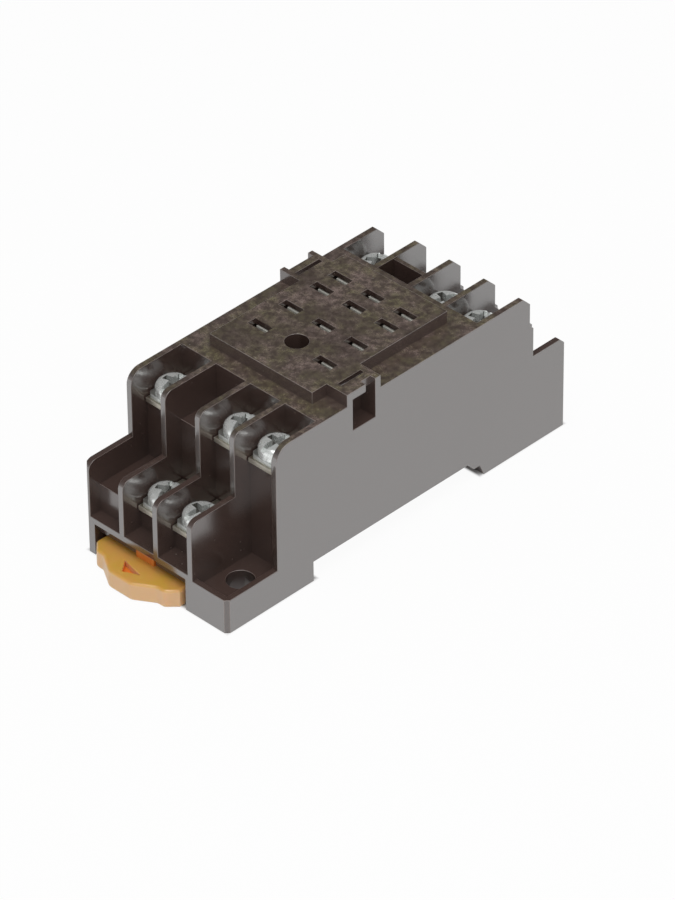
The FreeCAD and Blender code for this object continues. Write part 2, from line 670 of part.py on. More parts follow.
def terminal_screw(number, terminal):
    """Pan-head screw with a slot and a cross recess; Z 0 of the body is under its head."""
    end, tier, bay = terminal[:3]
    body = new_body(f"screw_body_{number}")
    sketch = flat_sketch(body, f"screw_profile_{number}", "XZ_Plane")
    tip = "-(washer_thick + screw_long)"
    draw(sketch, [
        ("0", tip), ("screw_radius - screw_tip", tip), ("screw_radius", f"{tip} + screw_tip"),
        ("screw_radius", "0"), (HEAD_RADIUS, "0"), (HEAD_RADIUS, "head_high", "head_round"),
        ("0", "head_high"),
    ])
    turned = body.newObject("PartDesign::Revolution", f"screw_turned_{number}")
    turned.Profile = sketch
    turned.ReferenceAxis = (sketch, ["V_Axis"])
    pocket(body, f"screw_slot_{number}", rectangle("driver_slot / 2", f"-{HEAD_RADIUS}", HEAD_RADIUS),
           "driver_deep", "head_high")
    arm = "driver_cross / 2"
    cross = []
    for across, up in (("", ""), ("-", ""), ("-", "-"), ("", "-")):
        quarter = [("cross_reach", arm), (arm, arm), (arm, "cross_reach")]
        if (across == "-") != (up == "-"):
            quarter.reverse()
        cross += [(f"{across}({x})", f"{up}({y})") for x, y in quarter]
    pocket(body, f"screw_cross_{number}", cross, "cross_deep", "head_high")
    return seat(body, f"terminal_screw_{number:02d}", bay_middle(bay),
                f"{from_end(end, SCREW_FROM_END[tier])} - rail_middle", f"{PLATE_TOP[tier]} + washer_thick")


def clamp_washer(number, terminal):
    """Square washer that stays under the screw's head."""
    end, tier, bay = terminal[:3]
    body = new_body(f"washer_body_{number}")
    side, cut_side = f"{WASHER_SIDE} / 2", f"{WASHER_SIDE} / 2 - washer_cut"
    pad(body, f"washer_pad_{number}", [
        (side, f"-({cut_side})"), (side, cut_side), (cut_side, side), (f"-({cut_side})", side),
        (f"-{side}", cut_side), (f"-{side}", f"-({cut_side})"),
        (f"-({cut_side})", f"-{side}"), (cut_side, f"-{side}"),
    ], "washer_thick", bore="washer_bore")
    return seat(body, f"clamp_washer_{number:02d}", bay_middle(bay),
                f"{from_end(end, SCREW_FROM_END[tier])} - rail_middle", PLATE_TOP[tier])


def terminal_strip(number, terminal):
    """Stamped strip: tapped plate under the screw, and a tongue that runs to the contact."""
    end, tier, bay = terminal[:3]
    path = strip_path(terminal)
    side, start, goal = path["side"], path["start"], path["goal"]
    back = f"{path['face']} - strip_slip"

    def spot(place, sign, half, distance):
        return f"{place} + ({sign * side}) * {half} / 2", from_end(end, distance)

    plan = [
        spot(start, -1, PLATE_WIDE, path["front"]), spot(start, 1, PLATE_WIDE, path["front"]),
        spot(start, 1, PLATE_WIDE, back), spot(start, 1, "strip_wide", back),
        spot(start, 1, "strip_wide", path["link"]), spot(goal, 1, "strip_wide", path["link"]),
        spot(goal, 1, "strip_wide", path["reach"]), spot(goal, -1, "strip_wide", path["reach"]),
        spot(goal, -1, "strip_wide", path["link_end"]), spot(start, -1, "strip_wide", path["link_end"]),
        spot(start, -1, "strip_wide", back), spot(start, -1, PLATE_WIDE, back),
    ]
    body = new_body(f"strip_body_{number}")
    sketch = flat_sketch(body, f"strip_sketch_{number}", "XY_Plane", f"{path['top']} - plate_thick")
    draw(sketch, plan)
    add_circle(sketch, start, from_end(end, SCREW_FROM_END[tier]), "screw_radius + tap_play")
    feature = body.newObject("PartDesign::Pad", f"strip_pad_{number}")
    feature.Profile = sketch
    bind(feature, "Length", "plate_thick")
    return seat(body, f"terminal_strip_{number:02d}")


def contact(number, terminal):
    """Two-leaf spring contact on the end of its strip, with a tail to the low strips."""
    tier, column, row = terminal[1], terminal[3], terminal[4]
    body = new_body(f"contact_body_{number}")
    outer, inner = "(contact_gap / 2 + contact_leaf)", "contact_gap / 2"
    foot, mouth = PLATE_TOP["high"], f"{DECK_TOP} - deck_skin - contact_clear"
    pad(body, f"contact_leaves_{number}", [
        (f"-{outer}", foot), (outer, foot), (outer, mouth), (inner, mouth), (inner, f"{foot} + contact_leaf"),
        (f"-{inner}", f"{foot} + contact_leaf"), (f"-{inner}", mouth), (f"-{outer}", mouth),
    ], "contact_wide", "YZ_Plane", "-contact_wide / 2")
    if tier == "low":
        tail = rectangle("strip_wide / 2", "-contact_leaf / 2", "contact_leaf / 2")
        low = PLATE_TOP["low"]
        pad(body, f"contact_tail_{number}", tail, f"{foot} - ({low})", lift=low)
    return seat(body, f"contact_{number:02d}", COLUMN[column], f"{row} - rail_middle")


def grip_outline():
    """Plan of the clip's grip: a lobe at each end and a bulge for the finger in the middle."""
    left = [
        ("-clip_half", "clip_back"), ("-clip_half", "-clip_end"),
        ("clip_lobe - clip_end - clip_half", "-clip_lobe", "lobe_round"),
        ("-lobe_half", "-clip_lobe", "lobe_round"),
        ("-bulge_half", "-clip_bulge", "bulge_round"),
    ]
    right = [(f"-({c[0]})",) + c[1:] for c in reversed(left)]
    return left + right


def rail_clip():
    """Sliding clip moulded with its tongue, guide flanges, nose, stop tab and two spring arms."""
    body = new_body("clip_body")
    grip = pad(body, "clip_grip", grip_outline(), "clip_top - clip_low", lift="clip_low")
    document.recompute()
    front_rim = []
    levels = (amount("clip_low"), amount("clip_top"))
    for index, edge in enumerate(grip.Shape.Edges, start=1):
        box = edge.BoundBox
        level = box.ZLength < 0.01 and min(abs(box.ZMin - z) for z in levels) < 0.01
        if level and box.YMin < -0.01:
            front_rim.append(f"Edge{index}")
    rim = body.newObject("PartDesign::Fillet", "clip_rim")
    rim.Base = (grip, front_rim)
    bind(rim, "Radius", "clip_edge")
    flange = "tongue_half + flange"
    root = "clip_back - overlap"
    pad(body, "clip_tongue", rectangle("tongue_half", root, "tongue_end"), "clip_top - clip_low",
        lift="clip_low")
    pad(body, "clip_flanges", rectangle(flange, root, "tongue_end"), "flange_thick", lift="flange_low")
    pad(body, "clip_nose", rectangle("tongue_half", "tongue_end - overlap", "groove_start + nose_reach"),
        "nose_top - clip_low", lift="clip_low")
    pad(body, "clip_tab", rectangle("tab_half", "tab_start", "tab_start + tab_long"),
        "tab_top - clip_top + overlap", lift="clip_top - overlap")
    for name, side in (("left", "-"), ("right", "")):
        pad(body, f"clip_arm_{name}", [
            (f"{side}arm_root", root), (f"{side}arm_tip", "arm_end"),
            (f"{side}(arm_tip - arm_thick)", "arm_end"), (f"{side}(arm_root - arm_thick)", root),
        ], "flange_thick + flange_low - clip_low", lift="clip_low")
    pocket(body, "clip_dimple", [
        ("-dimple_left", "-dimple_left_out"), ("-dimple_tip", "-dimple_tip_out"),
        ("dimple_right", "-dimple_right_out"),
    ], "dimple_deep", "clip_top")
    return seat(body, "rail_clip", "clip_x")


def build():
    write_sizes()
    pieces = [housing(), base_plate(), rail_clip()]
    for number, terminal in enumerate(TERMINALS, start=1):
        pieces.append(terminal_strip(number, terminal))
        pieces.append(contact(number, terminal))
        pieces.append(clamp_washer(number, terminal))
        pieces.append(terminal_screw(number, terminal))
    document.recompute()
    return pieces


def check(pieces):
    for thing in document.Objects:
        if "Invalid" in thing.State or "Error" in thing.State:
            raise RuntimeError(f"{thing.Label} did not build: {thing.State}")
    for piece in pieces:
        if piece.Shape.isNull() or not piece.Shape.isValid():
            raise RuntimeError(f"{piece.Label} has no valid shape")


parts = build()
check(parts)
os.makedirs("parts", exist_ok=True)
for part in parts:
    part.Shape.exportStep(f"parts/{part.Label}.step")
    print(part.Label, len(part.Shape.Solids), round(part.Shape.Volume, 2))
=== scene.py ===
import math

import bmesh
import bpy
from mathutils import Matrix, Vector


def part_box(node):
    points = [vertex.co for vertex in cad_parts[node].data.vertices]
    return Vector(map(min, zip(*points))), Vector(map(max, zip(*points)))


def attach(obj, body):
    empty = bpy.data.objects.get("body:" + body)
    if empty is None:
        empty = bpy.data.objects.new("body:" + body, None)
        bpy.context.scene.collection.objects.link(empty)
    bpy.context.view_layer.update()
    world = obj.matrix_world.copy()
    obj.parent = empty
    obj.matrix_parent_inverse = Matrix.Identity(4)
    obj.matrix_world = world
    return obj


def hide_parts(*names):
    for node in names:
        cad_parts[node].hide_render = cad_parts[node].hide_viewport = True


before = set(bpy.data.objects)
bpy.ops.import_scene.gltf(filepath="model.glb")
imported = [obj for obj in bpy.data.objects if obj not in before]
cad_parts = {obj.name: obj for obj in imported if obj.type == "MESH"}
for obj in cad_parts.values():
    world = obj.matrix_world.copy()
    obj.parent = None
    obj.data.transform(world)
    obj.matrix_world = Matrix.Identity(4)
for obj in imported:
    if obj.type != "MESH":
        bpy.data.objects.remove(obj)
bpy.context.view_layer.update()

# Housing: one injection moulding in dark brown, fairly glossy plastic. Side walls, dividers, pedestals,
# shelf, relay deck and feet are all one piece, so every outer edge has the same small mould radius.
# Its top faces are dull and scuffed from relays and fingers, its walls smooth, and the bays less shiny and
# painted lighter, as painted light in their shade.
MM = 0.001
HOUSING_BROWN = (0.050, 0.032, 0.025, 1)
# Lighter than the housing brown: painted light that lifts the shade in the bays.
INSIDE_BROWN_PAINTED_LIGHT = (0.068, 0.043, 0.036, 1)
SCUFFED_BROWN = (0.205, 0.148, 0.126, 1)
OLIVE_BROWN = (0.158, 0.134, 0.072, 1)
DUST = (0.42, 0.40, 0.37, 1)
MOTTLE_SIZE, TINT_SIZE, CLOUD_SIZE = 1.1 * MM, 4 * MM, 7 * MM
DUST_SPACING = 1.5 * MM
GRAIN_SIZE, GRAIN_DEPTH = 0.25 * MM, 0.03 * MM
HOUSING_EDGE = 0.08 * MM
HOUSING_MIDDLE = 0.45 * MM
DECK_LEVEL, LEVEL_FADE = 27.0 * MM, 0.2 * MM
SIDE_WALL_FROM, REAR_FINS_FROM, END_WALL_FROM, TOPS_FROM = 14.3 * MM, 15 * MM, 35.5 * MM, 26 * MM
DIVIDER_EDGE = 1.7 * MM
SQUARE_ON, MORE_OR_LESS = 0.9, 0.5
SMOOTH_BELOW, ROUNDED_ABOVE = math.radians(48), math.radians(30)
WELD_WITHIN, FLAT_WITHIN = 0.002 * MM, math.radians(0.5)


def add(tree, kind, inputs=None, **settings):
    """Adds a node; inputs fills its sockets by name or number with values or with other nodes' sockets."""
    node = tree.nodes.new(kind)
    for key, value in settings.items():
        setattr(node, key, value)
    for key, value in (inputs or {}).items():
        if isinstance(value, bpy.types.NodeSocket):
            tree.links.new(value, node.inputs[key])
        else:
            node.inputs[key].default_value = value
    return node


def new_material(name, **shader_values):
    """A material with its Principled shader, whose plain sockets are set by name."""
    material = bpy.data.materials.new(name)
    material.use_nodes = True
    shader = material.node_tree.nodes["Principled BSDF"]
    for socket, value in shader_values.items():
        shader.inputs[socket.replace("_", " ")].default_value = value
    return material, material.node_tree, shader


def noise(tree, place, size, detail=3.0, roughness=0.55):
    """Noise over the piece, with its grain given as a size in metres."""
    return add(tree, "ShaderNodeTexNoise", {"Vector": place, "Scale": 1 / size, "Detail": detail,
                                            "Roughness": roughness}).outputs["Fac"]


def ramp(tree, value, low, high, to_low=0.0, to_high=1.0):
    """Value stretched from one range to another and held inside it."""
    return add(tree, "ShaderNodeMapRange", {"Value": value, "From Min": low, "From Max": high,
                                            "To Min": to_low, "To Max": to_high}).outputs["Result"]


def reckoned(tree, operation, first, second=0.0):
    """One step of arithmetic on numbers or on other nodes' sockets."""
    return add(tree, "ShaderNodeMath", {0: first, 1: second}, operation=operation).outputs[0]


def times(tree, first, second):
    return reckoned(tree, "MULTIPLY", first, second)


def coordinates(tree, place):
    return add(tree, "ShaderNodeSeparateXYZ", {0: place}).outputs


def mixed(tree, share, first, second):
    """Colour between two colours."""
    return add(tree, "ShaderNodeMix", {0: share, 6: first, 7: second}, data_type="RGBA").outputs[2]


def marked(tree, name):
    """Reads an attribute that marks some of a piece's faces."""
    return add(tree, "ShaderNodeAttribute", attribute_name=name).outputs["Fac"]


def bumped(tree, shader, height, depth):
    """Drives the shader's normal by a height, with the depth of the relief in metres."""
    bump = add(tree, "ShaderNodeBump", {"Height": height, "Distance": depth, "Strength": 1.0})
    tree.links.new(bump.outputs["Normal"], shader.inputs["Normal"])


def housing_plastic(name, brown, level, shine=2.75, dullest=0.19, dust=0.0):
    """Glossy plastic, mottled, scuffed and dusty on faces that look up from a level on."""
    material, tree, shader = new_material(name, IOR=shine)
    coords = add(tree, "ShaderNodeTexCoord").outputs
    place = coords["Object"]
    upward = ramp(tree, coordinates(tree, coords["Normal"])["Z"], 0.5, 0.9)
    faces_up = times(tree, upward, ramp(tree, coordinates(tree, place)["Z"], level, level + LEVEL_FADE))
    mottle = noise(tree, place, MOTTLE_SIZE, 6.0, 0.75)
    cloud = noise(tree, place, CLOUD_SIZE)
    share = times(tree, faces_up, ramp(tree, mottle, 0.41, 0.64, 0.10, 0.95))
    share = times(tree, share, ramp(tree, cloud, 0.35, 0.65, 0.5, 1.4))
    tint = ramp(tree, noise(tree, place, TINT_SIZE), 0.39, 0.60)
    skin = mixed(tree, share, brown, mixed(tree, tint, SCUFFED_BROWN, OLIVE_BROWN))
    grains = add(tree, "ShaderNodeTexVoronoi", {"Vector": place, "Scale": 1 / DUST_SPACING})
    dots = ramp(tree, grains.outputs["Distance"], 0.05, 0.09, 0.5, 0.0)
    specks = times(tree, dots, ramp(tree, cloud, 0.45, 0.6))
    dusty = times(tree, specks, reckoned(tree, "MAXIMUM", faces_up, dust))
    skin = mixed(tree, dusty, skin, DUST)
    edge = marked(tree, "edge")
    worn = times(tree, edge, ramp(tree, cloud, 0.4, 0.65, 0.05, 0.55))
    tree.links.new(mixed(tree, worn, skin, SCUFFED_BROWN), shader.inputs["Base Color"])
    dull = ramp(tree, cloud, 0.3, 0.7, dullest - 0.04, dullest)
    scuffed = times(tree, faces_up, ramp(tree, mottle, 0.3, 0.7, 0.0, 0.12))
    for more in (scuffed, times(tree, edge, 0.2)):
        dull = reckoned(tree, "ADD", dull, more)
    tree.links.new(dull, shader.inputs["Roughness"])
    grain = noise(tree, place, GRAIN_SIZE, 2.0)
    bumped(tree, shader, times(tree, grain, ramp(tree, faces_up, 0, 1, 0.12, 1.0)), GRAIN_DEPTH)
    return material


def merged_copy(name, node):
    """Copy of a CAD node's mesh with its loose triangles joined into flat faces."""
    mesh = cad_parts[node].data.copy()
    mesh.name = name
    build = bmesh.new()
    build.from_mesh(mesh)
    bmesh.ops.remove_doubles(build, verts=build.verts, dist=WELD_WITHIN)
    bmesh.ops.dissolve_limit(build, angle_limit=FLAT_WITHIN, verts=build.verts, edges=build.edges)
    build.to_mesh(mesh)
    build.free()
    mesh.materials.clear()
    piece = bpy.data.objects.new(name, mesh)
    bpy.context.scene.collection.objects.link(piece)
    return piece


def edge_rounded(piece, radius):
    """Rounds each sharp outer edge; the new faces are marked by the second material."""
    for slot in ("body", "edges"):
        piece.data.materials.append(bpy.data.materials.get(slot) or bpy.data.materials.new(slot))
    build = bmesh.new()
    build.from_mesh(piece.data)
    weight = build.edges.layers.float.new("bevel_weight_edge")
    for edge in build.edges:
        edge[weight] = 1.0 if edge.calc_face_angle_signed(0) > ROUNDED_ABOVE else 0.0
    build.to_mesh(piece.data)
    build.free()
    bevel = piece.modifiers.new("rounded", "BEVEL")
    bevel.limit_method = "WEIGHT"
    bevel.width = radius
    bevel.segments = 2
    bevel.use_clamp_overlap = False
    bevel.harden_normals = False
    bevel.miter_outer = "MITER_ARC"
    bevel.material = 1
    return piece


def smooth_corners(mesh):
    """Gives each corner of a face the mean of the faces round it that turn little from it."""
    mesh.shade_smooth()
    faces = [(face.normal.copy(), face.normal * face.area) for face in mesh.polygons]
    meeting = [[] for _ in mesh.vertices]
    for face in mesh.polygons:
        for vertex in face.vertices:
            meeting[vertex].append(faces[face.index])
    least = math.cos(SMOOTH_BELOW)
    corners = []
    for face in mesh.polygons:
        own = faces[face.index][0]
        for vertex in face.vertices:
            near = (weighted for normal, weighted in meeting[vertex] if normal.dot(own) > least)
            mean = sum(near, Vector())
            corners.append(mean.normalized() if mean.length else own)
    mesh.normals_split_custom_set(corners)


def finished(piece, material):
    """Turns a piece's modifiers into a plain mesh with one material and smooth rounded edges."""
    bpy.context.view_layer.update()
    graph = bpy.context.evaluated_depsgraph_get()
    mesh = bpy.data.meshes.new_from_object(piece.evaluated_get(graph))
    piece.modifiers.clear()
    mesh.name = piece.name
    piece.data = mesh
    worn = [1.0 if face.material_index else 0.0 for face in mesh.polygons]
    mesh.attributes.new("edge", "FLOAT", "FACE").data.foreach_set("value", worn)
    mesh.materials.clear()
    mesh.materials.append(material)
    mesh.polygons.foreach_set("material_index", [0] * len(mesh.polygons))
    smooth_corners(mesh)
    return piece


def dull_inside(piece, material):
    """Gives the faces inside the bays their own material: duller, as the mould leaves them, and a lighter
    brown as painted light in their shade.
    """
    mesh = piece.data
    mesh.materials.append(material)
    for face in mesh.polygons:
        middle, normal = face.center, face.normal
        across = [mesh.vertices[i].co.x for i in face.vertices]
        narrow = max(across) - min(across) < DIVIDER_EDGE
        outermost = abs(middle.x) > SIDE_WALL_FROM or middle.y > REAR_FINS_FROM
        side_wall = abs(normal.x) > SQUARE_ON and outermost
        end_wall = abs(middle.y - HOUSING_MIDDLE) > END_WALL_FROM
        end_face = abs(normal.y) > SQUARE_ON and (narrow or end_wall)
        top = normal.z > MORE_OR_LESS and middle.z > TOPS_FROM
        underside = normal.z < -MORE_OR_LESS
        face.material_index = 0 if side_wall or end_face or top or underside else 1
    return piece


def dress(piece, body, node):
    """Hangs a piece on the body it rides on and hides the CAD node it stands for."""
    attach(piece, body)
    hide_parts(node)


outer_look = housing_plastic("housing_plastic", HOUSING_BROWN, DECK_LEVEL)
# The inside look's lighter brown is painted light in the shaded bays.
inner_look = housing_plastic("housing_inside", INSIDE_BROWN_PAINTED_LIGHT, DECK_LEVEL, shine=2.2, dullest=0.21, dust=0.6)
moulding = finished(edge_rounded(merged_copy("housing_moulding", "housing"), HOUSING_EDGE), outer_look)
dress(dull_inside(moulding, inner_look), "socket_body", "housing")

# Base plate: the flat moulding that closes the housing from below, in the same plastic but with the
# duller face of a part that nobody sees.
BASE_EDGE = 0.1 * MM
BASE_LEVEL = -1 * MM

base_look = housing_plastic("base_plastic", HOUSING_BROWN, BASE_LEVEL)
base = finished(edge_rounded(merged_copy("base_moulding", "base_plate"), BASE_EDGE), base_look)
dress(base, "socket_body", "base_plate")

# Rail clip: an ochre moulding, slightly see-through at its thin edges, that slides out of the front
# foot to let go of the rail. Its stop tab and the arrow sunk in its grip are painted orange: painted shade
# and painted glow of light through the thin plastic.
CLIP_OCHRE = (0.66, 0.38, 0.05, 1)
CLIP_AMBER = (0.72, 0.36, 0.09, 1)
CLIP_PAINTED_REFLECTION_PEACH = (0.84, 0.52, 0.26, 1)
CLIP_PAINTED_SHADE_ORANGE = (0.78, 0.22, 0.02, 1)
CLIP_EDGE = 0.15 * MM
CLIP_CLOUD_SIZE, CLIP_GRAIN_SIZE, CLIP_GRAIN_DEPTH = 5 * MM, 0.8 * MM, 0.006 * MM
GLOW_DEPTH, GLOW_REACH = 1.2 * MM, (1.0, 0.45, 0.12)
TAB_FROM = 3.35 * MM
ARROW_MIDDLE, ARROW_HALF = -3.4 * MM, 3 * MM
ARROW_BACK, ARROW_FRONT = -35.7 * MM, -39.2 * MM
ARROW_LOW, ARROW_HIGH = 2 * MM, 3.2 * MM


def clip_plastic():
    """Satin ochre plastic, with a painted reflection that makes upright faces paler, and painted shade and
    glow in orange on marked faces.
    """
    material, tree, shader = new_material("clip_plastic", IOR=1.9, Subsurface_Weight=0.3,
                                          Subsurface_Scale=GLOW_DEPTH, Subsurface_Radius=GLOW_REACH)
    coords = add(tree, "ShaderNodeTexCoord").outputs
    cloud = noise(tree, coords["Object"], CLIP_CLOUD_SIZE)
    skin = mixed(tree, ramp(tree, cloud, 0.38, 0.62, 0.0, 0.9), CLIP_OCHRE, CLIP_AMBER)
    upward = coordinates(tree, coords["Normal"])["Z"]
    # Upright faces turn towards peach: a painted reflection of the bright floor.
    skin = mixed(tree, ramp(tree, upward, 0.15, 0.75, 0.8, 0.0), skin, CLIP_PAINTED_REFLECTION_PEACH)
    # Faces marked deep get orange: painted shade and painted glow of light through thin plastic.
    tree.links.new(mixed(tree, marked(tree, "deep"), skin, CLIP_PAINTED_SHADE_ORANGE), shader.inputs["Base Color"])
    fine = noise(tree, coords["Object"], CLIP_GRAIN_SIZE)
    tree.links.new(ramp(tree, fine, 0.3, 0.7, 0.36, 0.44), shader.inputs["Roughness"])
    bumped(tree, shader, fine, CLIP_GRAIN_DEPTH)
    return material


def in_arrow(face):
    """Whether a face lies in the sunk arrow and not on its sloping rim."""
    spot, normal = face.center, face.normal
    beside = abs(spot.x - ARROW_MIDDLE) < ARROW_HALF
    sunk = spot.y < ARROW_BACK and beside and ARROW_LOW < spot.z < ARROW_HIGH
    sloping_rim = abs(normal.z) < 0.95 and (normal.y < -0.2 or spot.y < ARROW_FRONT)
    return sunk and not sloping_rim


clip_look = clip_plastic()
clip = finished(edge_rounded(merged_copy("clip_moulding", "rail_clip"), CLIP_EDGE), clip_look)
# The stop tab and the sunk arrow are marked for the painted orange shade and glow.
painted_shade_glow_places = [1.0 if face.center.z > TAB_FROM or in_arrow(face) else 0.0 for face in clip.data.polygons]
clip.data.attributes.new("deep", "FLOAT", "FACE").data.foreach_set("value", painted_shade_glow_places)
dress(clip, "clip", "rail_clip")

# Terminal strips and contacts: the strips are stamped from nickel-plated brass sheet, each with a plate
# tapped for its screw and a tongue that runs inside to a two-leaf contact under one blade slot of the
# deck; the contacts are bent from silver-plated spring bronze.
NICKEL = (0.74, 0.70, 0.60, 1)
SILVER = (0.95, 0.94, 0.86, 1)
GRIME_AND_SHADE = (0.06, 0.05, 0.04, 1)
STRIP_EDGE, CONTACT_EDGE = 0.08 * MM, 0.06 * MM
SHEET_GRAIN, SHEET_RELIEF = 0.7 * MM, 0.012 * MM
TERMINALS = range(1, 12)


def plated(name, colour, gloss, grain, relief, dull=0.14, metal=1.0, fade=0.78):
    """Plated metal: a slightly patchy coat with fine grain, and a screw's recess darkened by grime and
    painted shade.
    """
    material, tree, shader = new_material(name, Metallic=metal)
    patch = noise(tree, add(tree, "ShaderNodeTexCoord").outputs["Object"], grain, 4.0, 0.65)
    faded = tuple(part * fade for part in colour[:3]) + (1,)
    coat = mixed(tree, ramp(tree, patch, 0.35, 0.7), colour, faded)
    # The recess mark darkens the coat: partly grime, partly painted shade.
    grime_and_shade = times(tree, marked(tree, "recess"), 0.9)
    tree.links.new(mixed(tree, grime_and_shade, coat, GRIME_AND_SHADE), shader.inputs["Base Color"])
    tree.links.new(ramp(tree, patch, 0.35, 0.65, gloss, gloss + dull), shader.inputs["Roughness"])
    bumped(tree, shader, patch, relief)
    return material


strip_look = plated("nickel", NICKEL, 0.28, SHEET_GRAIN, SHEET_RELIEF)
contact_look = plated("silver", SILVER, 0.25, SHEET_GRAIN, SHEET_RELIEF, metal=0.45)
for number in TERMINALS:
    for kind, edge, slot, look in (("terminal_strip", STRIP_EDGE, "strip_metal", strip_look),
                                   ("contact", CONTACT_EDGE, "contact_metal", contact_look)):
        node = f"{kind}_{number:02d}"
        sheet = finished(edge_rounded(merged_copy(f"plated_{node}", node), edge), look)
        dress(sheet, "socket_body", node)

# Clamp washers: square, punched from steel sheet and zinc plated. Each stays captive under its screw's
# head and presses the wire onto the strip.
ZINC = (0.80, 0.83, 0.80, 1)
WASHER_EDGE = 0.14 * MM
WASHER_GRAIN, WASHER_RELIEF = 0.45 * MM, 0.02 * MM

washer_look = plated("zinc_washer", ZINC, 0.3, WASHER_GRAIN, WASHER_RELIEF)
for number in TERMINALS:
    node = f"clamp_washer_{number:02d}"
    washer = finished(edge_rounded(merged_copy(f"plated_{node}", node), WASHER_EDGE), washer_look)
    dress(washer, f"clamp_{number:02d}", node)

# Terminal screws: zinc-plated pan heads with a slot and a cross recess, and a rolled thread.
# One tree of nodes makes them all from the same sizes, each at the place of its own CAD screw and
# turned a little further than its neighbours, as screws are left by hand.
# The screws' zinc is paler than the washers' zinc: painted light that brightens the heads.
SCREW_ZINC_PAINTED_PALER = (0.95, 0.98, 0.96, 1)
SCREW_GRAIN, SCREW_RELIEF = 0.8 * MM, 0.05 * MM
SCREW_SIZES = {
    "Head radius": 2.84 * MM, "Head height": 2.14 * MM, "Head round": 1.1 * MM, "Crown": 0.16 * MM,
    "Slot width": 0.8 * MM, "Slot depth": 0.9 * MM, "Cross width": 1.0 * MM, "Cross reach": 1.75 * MM,
    "Cross depth": 1.3 * MM, "Shank radius": 1.5 * MM, "Shank length": 4.9 * MM, "Thread depth": 0.27 * MM,
    "Thread pitch": 0.5 * MM, "Tip bevel": 0.4 * MM,
}
HEAD_SIDES, HEAD_RINGS, TOP_RINGS = 56, 10, 6
SHANK_SIDES, SHANK_RINGS, SHANK_IN_HEAD = 32, 88, 0.2 * MM
SCREW_EDGE, SCREW_SHARP = 0.07 * MM, math.radians(35)
GRIME_SHADE_UNDER_TOP, GRIME_SHADE_OVER_FOOT, GRIME_SHADE_INSIDE_RIM = 0.3 * MM, 0.1 * MM, 0.7 * MM
TURNS = (20, -12, 8, 16, -6, 24, -18, 10, -8, 14, -22)


